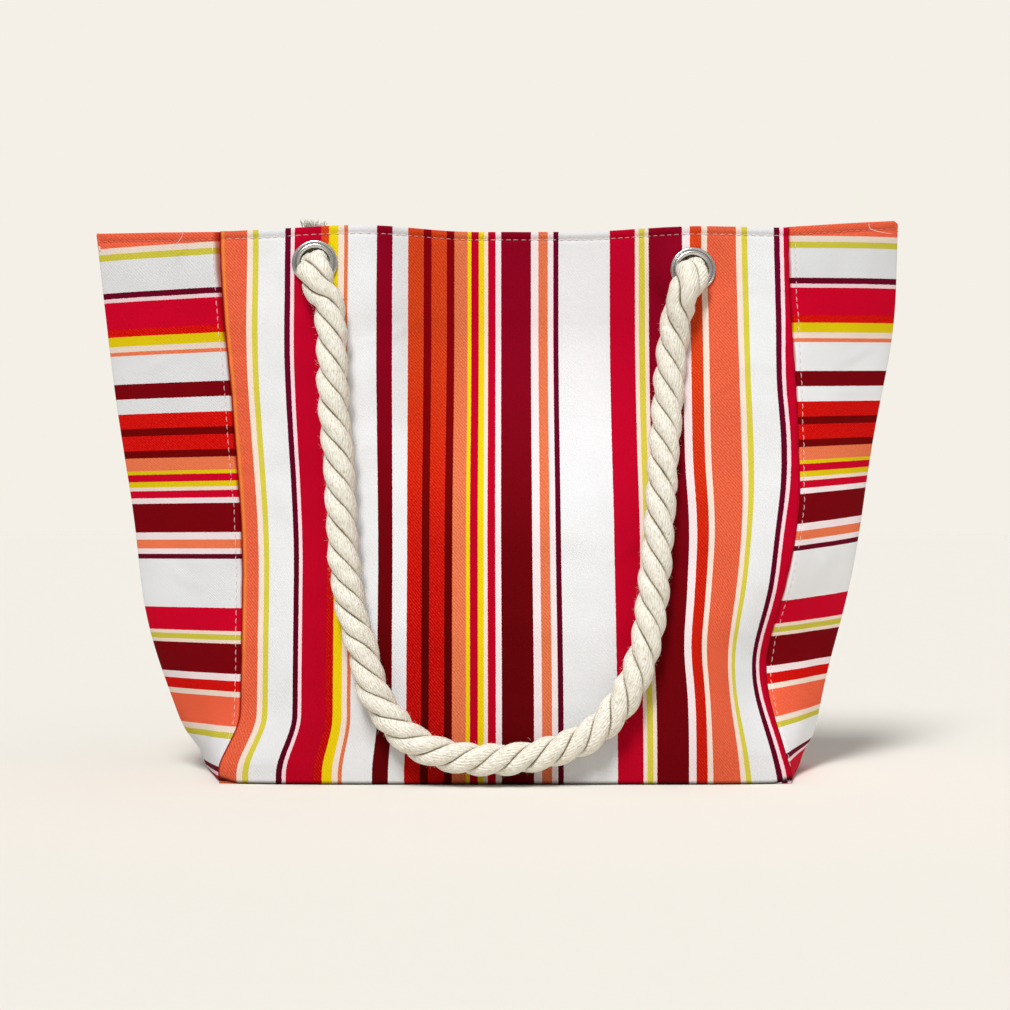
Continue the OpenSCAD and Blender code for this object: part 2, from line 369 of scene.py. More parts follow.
def fold_x(side, z):
    sway = sum(reach * bump(z, at, width) for at, width, reach in SWAY[side])
    return side * (FOLD_BASE + (FOLD_RIM[side] - FOLD_BASE) * np.clip(z / RIM_Z, 0, 1) ** 0.6 + sway)


def wrinkles(u, z, seed):
    """Small outward unevenness of the cloth, none where it stands on the base."""
    soft = 0.0009 * ripple(u, z * 0.7, 0.110, seed) + 0.00030 * ripple(u, z, 0.035, seed + 1)
    return soft * smooth(z / 0.03)


def creases(x, z, lines):
    """Soft folds along lines of (x0, z0, x1, z1, width, height), each with a wider hollow at both sides."""
    total = np.zeros(np.broadcast(x, z).shape)
    for x0, z0, x1, z1, width, height in lines:
        length = math.hypot(x1 - x0, z1 - z0)
        cx, cz = (x1 - x0) / length, (z1 - z0) / length
        along = ((x - x0) * cx + (z - z0) * cz) / length
        across = (z - z0) * cx - (x - x0) * cz + 0.08 * length * np.sin(math.pi * np.clip(along, 0, 1))
        fade = smooth(along / 0.35) * (1 - smooth((along - 0.65) / 0.35))
        ridge = np.exp(-(across / width) ** 2) - 0.5 * np.exp(-(across / width / 2.2) ** 2)
        total = total + height * fade * ridge
    return total


def swells(x, z, waves):
    """Broad waves of (x, z, half width, half height, wave length, height)."""
    total = np.zeros(np.broadcast(x, z).shape)
    for cx, cz, wide, tall, wave, height in waves:
        window = np.exp(-((x - cx) / wide) ** 2 - ((z - cz) / tall) ** 2)
        total = total + height * window * np.cos(math.tau * (z - cz + 0.15 * (x - cx)) / wave)
    return total


SWELLS = {
    "front": [
        (-0.085, 0.290, 0.045, 0.050, 0.064, -0.0013), (0.140, 0.258, 0.040, 0.070, 0.180, 0.0020),
        (0.100, 0.110, 0.060, 0.050, 0.110, 0.0010), (-0.160, 0.300, 0.040, 0.050, 0.090, 0.0008),
        (-0.030, 0.100, 0.080, 0.060, 0.120, 0.0010), (0.030, 0.180, 0.080, 0.060, 0.100, 0.0008),
    ],
    "back": [
        (0.080, 0.280, 0.060, 0.060, 0.100, 0.0014), (-0.110, 0.160, 0.060, 0.060, 0.120, 0.0014),
        (0.020, 0.090, 0.090, 0.050, 0.110, 0.0010),
    ],
}
# On a gusset x runs from the front seam to the back one
CREASES = {
    "front": [
        (-0.104, 0.286, -0.044, 0.316, 0.0035, 0.0011), (-0.112, 0.222, -0.076, 0.221, 0.0022, 0.0006),
        (0.128, 0.314, 0.172, 0.333, 0.0030, 0.0010), (0.126, 0.250, 0.168, 0.284, 0.0032, 0.0011),
        (0.030, 0.190, 0.078, 0.193, 0.0024, 0.0007), (0.060, 0.139, 0.100, 0.175, 0.0035, 0.0011),
        (-0.168, 0.030, -0.138, 0.049, 0.0034, 0.0007), (-0.182, 0.019, -0.130, 0.018, 0.0034, 0.0008),
        (0.146, 0.026, 0.184, 0.020, 0.0034, 0.0008), (0.138, 0.118, 0.160, 0.092, 0.0040, 0.0011),
        (-0.150, 0.205, -0.134, 0.160, 0.0040, 0.0007), (-0.020, 0.060, 0.060, 0.052, 0.0050, 0.0008),
        (-0.060, 0.118, 0.010, 0.128, 0.0050, 0.0006), (0.020, 0.262, 0.090, 0.240, 0.0050, 0.0008),
    ],
    "back": [
        (-0.120, 0.250, -0.060, 0.290, 0.0035, 0.0011), (0.070, 0.226, 0.130, 0.200, 0.0040, 0.0010),
        (-0.030, 0.150, 0.050, 0.170, 0.0045, 0.0009), (0.140, 0.030, 0.176, 0.045, 0.0030, 0.0012),
        (-0.176, 0.022, -0.130, 0.018, 0.0030, 0.0013), (-0.090, 0.100, -0.050, 0.060, 0.0040, 0.0009),
    ],
    "left": [
        (-0.066, 0.126, -0.024, 0.142, 0.0030, 0.0011), (-0.060, 0.290, -0.020, 0.272, 0.0030, 0.0009),
        (-0.060, 0.050, -0.020, 0.030, 0.0035, 0.0012), (0.020, 0.180, 0.062, 0.150, 0.0035, 0.0010),
        (-0.030, 0.222, -0.012, 0.180, 0.0030, 0.0007), (0.015, 0.080, 0.060, 0.060, 0.0035, 0.0011),
    ],
    "right": [
        (-0.060, 0.276, -0.014, 0.292, 0.0030, 0.0010), (-0.058, 0.150, -0.020, 0.124, 0.0035, 0.0011),
        (-0.056, 0.060, -0.016, 0.044, 0.0035, 0.0012), (0.016, 0.240, 0.060, 0.210, 0.0035, 0.0010),
        (0.020, 0.090, 0.060, 0.120, 0.0035, 0.0011), (-0.050, 0.215, -0.018, 0.205, 0.0030, 0.0008),
    ],
}


# ---------------------------------------------------------------- materials

FRONT_LIGHT = 1.12  # brightness of the light on the front, against which the dyes are set


def dye(r, g, b):
    """Colour that looks like these display values on the front panel."""
    return tuple(c / FRONT_LIGHT for c in srgb(r, g, b)[:3]) + (1.0,)


WHITE = dye(238, 239, 241)
CORAL = dye(232, 100, 66)
SALMON = dye(231, 121, 78)
CRIMSON = dye(194, 0, 42)
BURGUNDY = dye(142, 0, 32)
DARK = dye(108, 0, 40)
MAROON = dye(140, 0, 10)
ORANGE = dye(224, 72, 26)
YELLOW = dye(243, 216, 20)
LIME = dye(219, 208, 72)
PALE = dye(251, 221, 227)
PEACH = dye(249, 229, 214)
PINK = dye(248, 233, 235)

# The print from the left seam on: colour and width in millimetres; it repeats
STRIPES = [
    (CORAL, 19.0), (PEACH, 3.3), (LIME, 3.3), (WHITE, 17.9), (DARK, 3.9), (PALE, 3.1),
    (CRIMSON, 17.1), (ORANGE, 5.5), (YELLOW, 6.7), (PEACH, 3.7), (SALMON, 2.3), (WHITE, 19.9),
    (BURGUNDY, 10.0), (WHITE, 10.0), (ORANGE, 10.0), (MAROON, 5.0), (ORANGE, 10.0),
    (MAROON, 5.0), (SALMON, 9.4), (YELLOW, 2.7), (CRIMSON, 5.1), (YELLOW, 3.3), (PEACH, 2.5),
    (CRIMSON, 5.5), (PINK, 3.5), (BURGUNDY, 21.0), (PINK, 4.7), (SALMON, 6.9), (PINK, 3.7),
    (DARK, 3.9), (WHITE, 33.6), (CRIMSON, 16.9), (PEACH, 2.4), (LIME, 3.7), (PEACH, 2.7),
    (BURGUNDY, 21.7), (PINK, 5.7), (ORANGE, 7.4), (PEACH, 4.4),
]
PERIOD = sum(width for _, width in STRIPES) / 1000
RAMP_STOPS = 30  # a ramp holds at most 32


class Value:
    """A number given by a node; arithmetic with it adds math nodes to the same tree."""

    def __init__(self, owner, socket):
        self.owner = owner
        self.socket = socket

    def __add__(self, other):
        return self.owner.math("ADD", self, other)

    def __radd__(self, other):
        return self.owner.math("ADD", other, self)

    def __sub__(self, other):
        return self.owner.math("SUBTRACT", self, other)

    def __rsub__(self, other):
        return self.owner.math("SUBTRACT", other, self)

    def __mul__(self, other):
        return self.owner.math("MULTIPLY", self, other)


class Tree:
    """Short calls for building a node tree."""

    def __init__(self, tree):
        self.tree = tree

    def add(self, kind, **values):
        node = self.tree.nodes.new(kind)
        for key, value in values.items():
            setattr(node, key, value)
        return node

    def wire(self, source, target):
        self.tree.links.new(source, target)

    def feed(self, socket, value):
        """Gives a socket a number or colour of its own, or another node's output."""
        if isinstance(value, Value):
            self.wire(value.socket, socket)
        elif isinstance(value, bpy.types.NodeSocket):
            self.wire(value, socket)
        else:
            socket.default_value = value

    def math(self, operation, *values):
        node = self.add("ShaderNodeMath", operation=operation)
        for i, value in enumerate(values):
            self.feed(node.inputs[i], value)
        return Value(self, node.outputs[0])

    def line(self, value, slope, start):
        return self.math("MULTIPLY_ADD", value, slope, start)

    def clamped(self, value):
        return self.math("MINIMUM", self.math("MAXIMUM", value, 0.0), 1.0)


class Nodes(Tree):
    """The node tree of a new material."""

    def __init__(self, name):
        self.mat = bpy.data.materials.new(name)
        self.mat.use_nodes = True
        super().__init__(self.mat.node_tree)
        self.shader = self.tree.nodes["Principled BSDF"]

    def place(self):
        return self.add("ShaderNodeNewGeometry").outputs["Position"]

    def vector(self, x, y, z=0.0):
        node = self.add("ShaderNodeCombineXYZ")
        for i, value in enumerate((x, y, z)):
            self.feed(node.inputs[i], value)
        return node.outputs[0]

    def attribute(self, name):
        """The three numbers of a mesh attribute."""
        node = self.add("ShaderNodeAttribute", attribute_name=name)
        parts = self.add("ShaderNodeSeparateXYZ")
        self.wire(node.outputs["Vector"], parts.inputs[0])
        return [Value(self, socket) for socket in parts.outputs]

    def channels(self, colour):
        node = self.add("ShaderNodeSeparateColor")
        self.wire(colour, node.inputs[0])
        return [Value(self, socket) for socket in node.outputs]

    def noise(self, vector, scale, detail=2.0, rough=0.5):
        node = self.add("ShaderNodeTexNoise")
        node.inputs["Scale"].default_value = scale
        node.inputs["Detail"].default_value = detail
        node.inputs["Roughness"].default_value = rough
        self.wire(vector, node.inputs["Vector"])
        return Value(self, node.outputs["Fac"])

    def mix(self, factor, a, b, kind="MIX"):
        node = self.add("ShaderNodeMix", data_type="RGBA", blend_type=kind)
        for socket, value in ((node.inputs[0], factor), (node.inputs[6], a), (node.inputs[7], b)):
            self.feed(socket, value)
        return node.outputs[2]

    def tinted(self, colour, tint):
        return self.mix(1.0, colour, tint, "MULTIPLY")

    def bumped(self, height, distance, strength):
        node = self.add("ShaderNodeBump")
        node.inputs["Distance"].default_value = distance
        node.inputs["Strength"].default_value = strength
        self.feed(node.inputs["Height"], height)
        return node.outputs["Normal"]

    def ramp(self, factor, stops, interpolation="LINEAR"):
        node = self.add("ShaderNodeValToRGB")
        node.color_ramp.interpolation = interpolation
        elements = node.color_ramp.elements
        while len(elements) > 1:
            elements.remove(elements[-1])
        elements[0].position, elements[0].color = stops[0][0], stops[0][1]
        for at, colour in stops[1:]:
            elements.new(at).color = colour
        self.feed(node.inputs["Fac"], factor)
        return node.outputs["Color"]

    def finish(self, colour, rough, normal, specular=None, metallic=None):
        values = {"Base Color": colour, "Roughness": rough, "Normal": normal,
                  "Specular IOR Level": specular, "Metallic": metallic}
        for key, value in values.items():
            if value is not None:
                self.feed(self.shader.inputs[key], value)
        return self.mat


def even(value):
    """A factor that is the same for red, green and blue."""
    return (value, value, value, 1)


def stripe_colour(n, along):
    """Colour of the print at the distance along it, in metres."""
    place = n.math("FRACT", n.math("DIVIDE", along, PERIOD))
    stops, at = [], 0.0
    for colour, width in STRIPES:
        stops.append((at / PERIOD / 1000, colour))
        at += width
    first = n.ramp(place, stops[:RAMP_STOPS], "CONSTANT")
    second = n.ramp(place, stops[RAMP_STOPS:], "CONSTANT")
    late = n.math("GREATER_THAN", place, stops[RAMP_STOPS][0])
    return n.mix(late, first, second)


def canvas_material(name):
    """Printed twill: cloth holds (place across the stripes, place along them, painted shade of the hem and
    the foot);
    edge holds (depth of the painted shade in the seam's ditch, painted highlight on the edge that rolls into
    the seam, depth of the dye);
    the gussets' third attribute holds (painted shade on the white parts, painted light on the other dyes,
    painted light on all of them)."""
    n = Nodes(name)
    across, along, shade = n.attribute("cloth")
    ditch, seam_highlight, fade = n.attribute("edge")
    painted_gusset_shade, gusset_relight, lit = n.attribute("gusset_painted_light")
    wobble = n.noise(n.vector(across, along), 900, 2)
    colour = stripe_colour(n, across + (wobble - 0.5) * 0.0007)
    red, green, blue = n.channels(colour)
    # The warm dyes that hold no blue are deeper towards the bottom
    full = n.clamped(green * 2.0)
    no_blue = n.clamped(n.line(blue, -90.0, 2.0)) * n.line(full, -0.8, 1.0)
    power = n.add("ShaderNodeGamma")
    n.wire(colour, power.inputs["Color"])
    n.feed(power.inputs["Gamma"], n.line(fade * no_blue, 0.55, 1.0))
    colour = power.outputs["Color"]
    # Orange turns to red where the dyes are darkened towards the bottom, and under the gussets' painted
    # light
    orange = n.clamped(green * 20.0) * no_blue * (1.0 - full)
    turned = n.clamped(orange * (fade + gusset_relight))
    colour = n.mix(turned, colour, n.tinted(colour, (0.92, 0.10, 0.25, 1)))
    # Painted light on the gussets: their red dyes are brightened and their lighter warm dyes dimmed
    colour = n.mix(gusset_relight * (1.0 - full), colour, n.tinted(colour, (1.36, 1.20, 1.30, 1)))
    white = n.clamped(n.line(blue, 2.0, -0.6))
    gusset_dimming = gusset_relight * (full * (1.0 - white))
    colour = n.mix(gusset_dimming, colour, n.tinted(colour, (0.70, 0.72, 0.68, 1)))
    # Painted light: the colours are brightened where the gussets' third attribute asks, on the lower right
    # gusset
    colour = n.mix(lit, colour, n.tinted(colour, even(1.20)))
    # Twill: fine diagonal ribs, broken by thread noise; the light dyes are thin on their crests
    rib_pitch = 0.0015
    jitter = n.noise(n.vector(across, along), 420, 3) * 0.0011
    ribs = n.math("SINE", (across * 0.76 + along * 0.65 + jitter) * (math.tau / rib_pitch))
    thread = n.noise(n.vector(across * 0.25, along), 1800, 2)
    weave = ribs * 0.5 + thread * 0.9
    speck = n.noise(n.vector(across, along), 800, 2, 0.6)
    tone = ribs * 0.13 + speck * 0.7
    light = n.ramp(tone, [(0.05, (0.40, 0.20, 0.20, 1)), (0.35, (0.98, 0.94, 0.94, 1)),
                          (0.65, (1.50, 1.65, 1.65, 1))])
    bright = n.clamped(green * 20.0)
    warm = n.clamped(n.line(red - blue, 1.6, -0.3))
    thin = bright * warm * n.line(full, -0.85, 1.0)
    vivid = n.line(thin, 0.80, 0.05)
    colour = n.mix(vivid, colour, n.tinted(colour, light))
    crest = n.clamped(n.line(tone, 0.28, -0.105))
    colour = n.mix(crest * vivid, colour, (0.90, 0.55, 0.50, 1))
    # Large faint clouds of worn tone
    cloud = n.noise(n.vector(across, along), 14, 3)
    worn = n.ramp(cloud, [(0.3, even(0.96)), (0.7, even(1.02))])
    colour = n.tinted(colour, worn)
    # Painted shade, from the cloth attribute's third number, as a warm dark tint
    dark = n.mix(shade, even(1), (0.14, 0.11, 0.07, 1))
    colour = n.tinted(colour, dark)
    # Painted shade: the gussets' white parts are darkened, as the light on the sides is weaker
    colour = n.mix(white * painted_gusset_shade, colour, (0.30, 0.30, 0.31, 1))
    # Painted highlight on the edge that rolls into the left seam, and painted shade in the seam's ditch
    colour = n.mix(seam_highlight, colour, dye(246, 150, 52))
    painted_shade = n.mix(ditch, even(1), (0.50, 0.10, 0.06, 1))
    colour = n.tinted(colour, painted_shade)
    normal = n.bumped(weave, 0.00018, 0.45)
    rough = 0.76 + speck * 0.16
    return n.finish(colour, rough, normal, specular=0.04)


def lining_material():
    n = Nodes("lining")
    across, along, _ = n.attribute("cloth")
    pitch = 0.0006
    weave = n.math("SINE", across * (math.tau / pitch)) * n.math("SINE", along * (math.tau / pitch))
    cloud = n.noise(n.vector(across, along), 25, 3)
    colour = n.ramp(cloud, [(0.25, srgb(176, 157, 130)), (0.75, srgb(196, 178, 150))])
    slub = n.noise(n.vector(across * 0.06, along), 1500, 2)
    tone = n.ramp(slub, [(0.3, even(0.9)), (0.7, even(1.05))])
    colour = n.tinted(colour, tone)
    return n.finish(colour, 0.85, n.bumped(weave, 0.00012, 0.6), specular=0.06)


def rope_material():
    """Cotton strands: the attribute yarn holds (way round the strand, way along it, painted shade where the
    strands meet).
    """
    n = Nodes("cotton_rope")
    around, along, painted_shade = n.attribute("yarn")
    # Yarns wind back round the strand, so that in the rope they run nearly along it
    slant = around + along * -YARN_SLANT
    yarn_pitch = 0.0019
    yarns = n.math("SINE", slant * (math.tau / yarn_pitch))
    fibre = n.noise(n.vector(slant, along * 0.22), 1500, 3, 0.65)
    fluff = n.noise(n.vector(around, along), 1400, 3, 0.7)
    height = yarns * 0.30 + fibre * 1.3 + fluff * 0.7
    base = n.ramp(fibre, [(0.32, (0.64, 0.58, 0.44, 1)), (0.45, (0.90, 0.86, 0.74, 1)),
                          (0.60, (0.98, 0.96, 0.90, 1))])
    patch = n.noise(n.vector(around, along), 90, 2)
    warm = n.ramp(patch, [(0.3, (0.96, 0.95, 0.92, 1)), (0.7, even(1.02))])
    base = n.tinted(base, warm)
    seeds = n.noise(n.vector(slant, along * 0.24), 1000, 2)
    fleck = n.ramp(seeds, [(0.0, even(0)), (0.57, even(0)), (0.68, even(1))])
    base = n.mix(n.math("MULTIPLY", fleck, 0.42), base, (0.42, 0.35, 0.23, 1))
    # Painted shade where the strands meet
    base = n.mix(painted_shade, base, (0.28, 0.21, 0.12, 1))
    return n.finish(base, 0.95, n.bumped(height, 0.0006, 0.9), specular=0.04)


def metal_material(name, colour, rough, scratch):
    n = Nodes(name)
    place = n.place()
    fine = n.noise(place, 900, 3, 0.6)
    smear = n.noise(place, 90, 3)
    roughness = rough + smear * scratch
    tint = n.ramp(smear, [(0.3, tuple(0.9 * c for c in colour[:3]) + (1,)), (0.7, colour)])
    return n.finish(tint, roughness, n.bumped(fine, 0.00004, 0.5), metallic=1.0)


def thread_material():
    """Sewing thread that lets the print under it show: cloth holds the place in the print."""
    n = Nodes("thread")
    across, _, pale = n.attribute("cloth")
    place = n.place()
    twist = n.noise(place, 2500, 2)
    light = n.ramp(twist, [(0.3, dye(238, 196, 196)), (0.7, dye(252, 238, 238))])
    colour = n.mix(pale, stripe_colour(n, across), light)
    return n.finish(colour, 0.7, n.bumped(twist, 0.0001, 0.6), specular=0.1)


def board_material():
    n = Nodes("board")
    place = n.place()
    pulp = n.noise(place, 700, 4, 0.7)
    colour = n.ramp(pulp, [(0.3, srgb(58, 56, 54)), (0.7, srgb(84, 81, 77))])
    return n.finish(colour, 0.8, n.bumped(pulp, 0.0002, 0.5))


# ---------------------------------------------------------------- ropes

# Front handle's route, (x, z); its first and last points are on the swing axis
ROUTE = [
    (-0.126, 0.342), (-0.121, 0.329), (-0.116, 0.314), (-0.113, 0.283), (-0.112, 0.250),
    (-0.108, 0.208), (-0.106, 0.176), (-0.104, 0.147), (-0.101, 0.125), (-0.097, 0.106),
    (-0.091, 0.087), (-0.084, 0.061), (-0.071, 0.041), (-0.056, 0.028), (-0.038, 0.021),
    (-0.018, 0.018), (0.003, 0.018), (0.024, 0.021), (0.043, 0.027), (0.060, 0.037),
    (0.073, 0.051), (0.084, 0.069), (0.091, 0.090), (0.095, 0.112), (0.098, 0.140),
    (0.101, 0.170), (0.104, 0.208), (0.108, 0.250), (0.112, 0.290), (0.116, 0.314),
    (0.121, 0.329), (0.126, 0.342),
]
SWING_Y = -0.0600
ROPE_LIFT = 0.0024
ROPE_STEP = 0.0013  # distance between a rope's rings
LAY = 0.0560  # length of one full turn of the strands
LAY_DRIFT = 0.17  # how many turns the lay drifts along a handle
STRAND_R = 0.0068  # radius of a strand's outer lobe
STRAND_OUT = 0.0038  # how far out its middle lies
LOBE = math.radians(88)  # half the way round that the outer lobe reaches
LOBE_SIDES = 38
YARN_SLANT = 1.1
YARNS = 11  # yarns that show round a strand
LOOSE_FIBRES = 2600  # short fibres that stand off one handle
FRAYED_YARNS = 70  # yarns in the brush at a cut end


def rope_y(x, z):
    """How far in front of the bag the hanging rope's middle lies."""
    hang = depth_at(x, z) + ROPE_R + ROPE_LIFT
    near = float(smooth((z - 0.290) / 0.040))
    return -(hang + (-SWING_Y - hang) * near)


def spline(points, step):
    """Points a step apart on the smooth curve through the given ones."""
    p = np.array(points, float)
    ends = [2 * p[0] - p[1], *p, 2 * p[-1] - p[-2]]
    fine = []
    for a, b, c, d in zip(ends, ends[1:], ends[2:], ends[3:]):
        for t in np.linspace(0, 1, 24, endpoint=False):
            fine.append(0.5 * (2 * b + (c - a) * t + (2 * a - 5 * b + 4 * c - d) * t * t
                               + (3 * b - a - 3 * c + d) * t ** 3))
    fine.append(p[-1])
    fine = np.array(fine)
    far = travelled(fine)
    at = np.linspace(0, far[-1], max(2, int(far[-1] / step) + 1))
    return np.stack([np.interp(at, far, fine[:, k]) for k in range(3)], axis=1)


def soften(line, times):
    """The line with its corners relaxed and its ends kept."""
    for _ in range(times):
        line[1:-1] = 0.5 * line[1:-1] + 0.25 * (line[:-2] + line[2:])
    return line


def frames(line):
    """Two directions square to the line at each point, carried along it without twist."""
    along = np.gradient(line, axis=0)
    along /= np.linalg.norm(along, axis=1)[:, None]
    side = np.zeros_like(line)
    first = np.cross(along[0], [0.3, 0.2, 0.9])
    side[0] = first / np.linalg.norm(first)
    for i in range(1, len(line)):
        s = side[i - 1] - along[i] * (side[i - 1] @ along[i])
        side[i] = s / np.linalg.norm(s)
    return side, np.cross(along, side)


def laid_rope(line, at, phase, size, splay=0.0, drift=0.0):
    """Three strands laid round the line, as (points, faces, yarn attribute): each is a round lobe outside
    and flat where it meets the other two. Size scales them and splay opens them at each point."""
    side, up = frames(line)
    size = size[:, None]
    splay = np.broadcast_to(splay, at.shape)[:, None]
    lobe = np.linspace(-LOBE, LOBE, LOBE_SIDES)
    sunk = smooth((np.abs(lobe) - 1.28) / 0.25)
    inner = np.array([0.72, 0.42, 0.12])
    count = LOBE_SIDES + 2 * len(inner)
    pieces = []
    for k in range(3):
        turn = phase + math.tau * (k / 3 - at / LAY + drift * np.sin(math.tau * at / at[-1]))
        out = side * np.cos(turn)[:, None] + up * np.sin(turn)[:, None]
        across = -side * np.sin(turn)[:, None] + up * np.cos(turn)[:, None]
        # Yarn ridges wind back round the strand, so that they run nearly along the rope
        wind = lobe[None, :] - at[:, None] * YARN_SLANT / STRAND_R
        ridge = 1 + 0.020 * np.cos(YARNS * wind + k) + 0.014 * np.sin(5 * wind + 1.7 * k + 40 * at[:, None])
        uneven = 1 + 0.045 * ripple(at, at * 0 + k, 0.018, 40 + k)[:, None]
        r = STRAND_R * size * ridge * uneven
        shrink = 1 - 0.085 * sunk
        o = (STRAND_OUT * size + r * np.cos(lobe)) * shrink
        a = r * np.sin(lobe) * shrink
        o = np.concatenate([o, o[:, -1:] * inner, o[:, :1] * inner[::-1]], axis=1) + splay
        a = np.concatenate([a, a[:, -1:] * inner, a[:, :1] * inner[::-1]], axis=1)
        p = line[:, None, :] + out[:, None, :] * o[:, :, None] + across[:, None, :] * a[:, :, None]
        round_it = np.concatenate([lobe, LOBE + 1 - inner, -LOBE - 1 + inner[::-1]]) * STRAND_R
        # Painted shade along the lobe's edges and the flat inner faces, where the strands meet
        groove = np.concatenate([0.8 * smooth((np.abs(lobe) - 1.36) / 0.15), np.ones(2 * len(inner))])
        yarn = stack(round_it[None, :] + 0.05 * k, at[:, None] + 0.3 * k, groove[None, :])
        pieces.append((p, tube_faces(len(line), count), yarn))
    return join(pieces)


def handle_line():
    """The front handle's middle: out of one eyelet, down, round and up into the other."""
    hang = [(x, rope_y(x, z), z) for x, z in ROUTE if z < 0.32]
    enter = {}
    for side in (-1, 1):
        x, z = side * EYELET_X, EYELET_Z[side]
        turn = 0.0 if side < 0 else 1.0  # the right end turns inwards sooner
        enter[side] = [
            (x, -0.0400, z - 0.0006),
            (x - 0.0004 * turn, -0.0465, z - 0.0014),
            (x - 0.0018 * turn, -0.0530, z - 0.0044),
            (x - side * 0.0012 - 0.0032 * turn, -0.0580, z - 0.0098),
            (x - side * 0.0038 - 0.0034 * turn, -0.0610, z - 0.0180),
        ]
    return soften(spline(enter[-1] + hang + enter[1][::-1], ROPE_STEP), 12)


def fuzz(line, seed):
    """Loose short fibres that stand off the rope's strands."""
    rng = np.random.default_rng(seed)
    side, up = frames(line)
    along = np.cross(side, up)
    pieces = []
    for _ in range(LOOSE_FIBRES):
        i = int(rng.integers(14, len(line) - 14))
        a = rng.uniform(0, math.tau)
        out = side[i] * math.cos(a) + up[i] * math.sin(a)
        round_it = np.cross(along[i], out)
        root = line[i] + out * rng.uniform(0.0086, 0.0102)
        lean = along[i] * rng.uniform(-1.0, 1.0) + round_it * rng.uniform(-1.0, 1.0)
        t = np.linspace(0, 1, 5)[:, None]
        length = rng.uniform(0.0012, 0.0036)
        hair = root + (out * t * rng.uniform(0.3, 0.9) + lean * t ** 1.5 * 0.8) * length
        pieces.append(hair_tube(hair, rng.uniform(0.00006, 0.00011), sides=3))
    return join(pieces)


def handle(face):
    """A rope handle, with its middle line and length."""
    side_y = FACES[face]
    line = handle_line() * np.array([1, -side_y, 1])
    far = travelled(line)
    # The eyelets squeeze the rope, which swells where it comes out of them
    end = np.minimum(far, far[-1] - far)
    size = 0.85 + 0.27 * smooth((end - 0.006) / 0.010) - 0.12 * smooth((end - 0.019) / 0.016)
    phase, seed = {"front": (1.9, 4), "back": (0.6, 5)}[face]
    laid = laid_rope(line, far, phase, size, drift=LAY_DRIFT)
    points, faces, yarn = join([laid, fuzz(line, seed)])
    obj = mesh_object(f"{face}_rope_laid", points, faces, {"yarn": yarn})
    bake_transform(obj)
    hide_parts(f"{face}_rope")
    obj.data.materials.append(MATERIALS["rope"])
    return obj, line, far[-1]


# ---------------------------------------------------------------- pieces of cloth

HEM_Z = RIM_Z - 0.0056  # row of hem stitches
HEM_IN = 0.0125  # how far the hem reaches down inside
HEM_FOLD = 0.0017  # radius of the fold over the rim
TUCKED = 4  # rows of the fold that still face outwards


def spread_rows(low, high, pitch, close_to=(), fine=0.0009, reach=0.004):
    """Values from low to high about a pitch apart, with finer ones near the given places."""
    values = list(np.linspace(low, high, max(2, int(round((high - low) / pitch)) + 1)))
    for place in close_to:
        values += [v for v in np.arange(place - reach, place + reach + fine / 2, fine) if low < v < high]
    values = sorted(values)
    kept = [values[0]]
    for v in values[1:]:
        if v - kept[-1] > fine * 0.6:
            kept.append(v)
    kept[-1] = high
    return np.array(kept)


def wall_rows(pitch):
    """Height and distance inward of each row of a wall, up its face and down the turned-in hem, and the
    number of rows on its face."""
    r = HEM_FOLD
    face = [(z, 0.0) for z in spread_rows(0.0, RIM_Z - r, pitch, close_to=(HEM_Z, 0.002), reach=0.003)]
    over = [(RIM_Z - r + r * math.sin(a), r - r * math.cos(a)) for a in np.linspace(0, math.pi, 9)[1:]]
    down = [(z, 2 * r) for z in np.linspace(RIM_Z - r, RIM_Z - HEM_IN, 8)[1:]]
    heights, inwards = np.array(face + over + down).T
    return heights, inwards, len(face)


def crossed(heights, across):
    """Both values at every point of a sheet: heights down its rows, across along its columns."""
    return np.repeat(heights[:, None], len(across), axis=1), np.repeat(across[None, :], len(heights), axis=0)


def rim_lift(x):
    """How far the front rim stands above or below its mean height."""
    return -0.0035 * smooth((-x - 0.095) / 0.095) - 0.0012 * smooth((x - 0.1) / 0.09)


def cut_eyelets(obj):
    """Opens the cloth behind both eyelets, with a clean round edge."""
    bm = bmesh.new()
    bm.from_mesh(obj.data)
    for side in (-1, 1):
        centre = Vector((side * EYELET_X, EYELET_Z[side]))
        near = [f for f in bm.faces if (f.calc_center_median().xz - centre).length < CLOTH_HOLE]
        edge = {v for f in near for v in f.verts}
        bmesh.ops.delete(bm, geom=near, context="FACES")
        for v in edge:
            if v.is_valid and v.is_boundary:
                v.co.xz = centre + (v.co.xz - centre).normalized() * CLOTH_HOLE
    loose = [v for v in bm.verts if not v.link_faces]
    bmesh.ops.delete(bm, geom=loose, context="VERTS")
    bm.to_mesh(obj.data)
    bm.free()


def settle(x, z, depth):
    """Depth of the cloth, drawn flat under the eyelets."""
    for side, height in EYELET_Z.items():
        middle = depth_at(side * EYELET_X, height)
        away = np.hypot(x - side * EYELET_X, z - height)
        flat = 1 - smooth((away - 0.0165) / 0.014)
        depth = depth + (middle - (z - height) * math.tan(LEAN) - depth) * flat
    return depth


def corner_rise(to_seam, z):
    """The cloth's lowest edge rounds up a little into each corner."""
    return 0.0034 * (1 - smooth(to_seam / 0.014)) * (1 - smooth(z / 0.022))


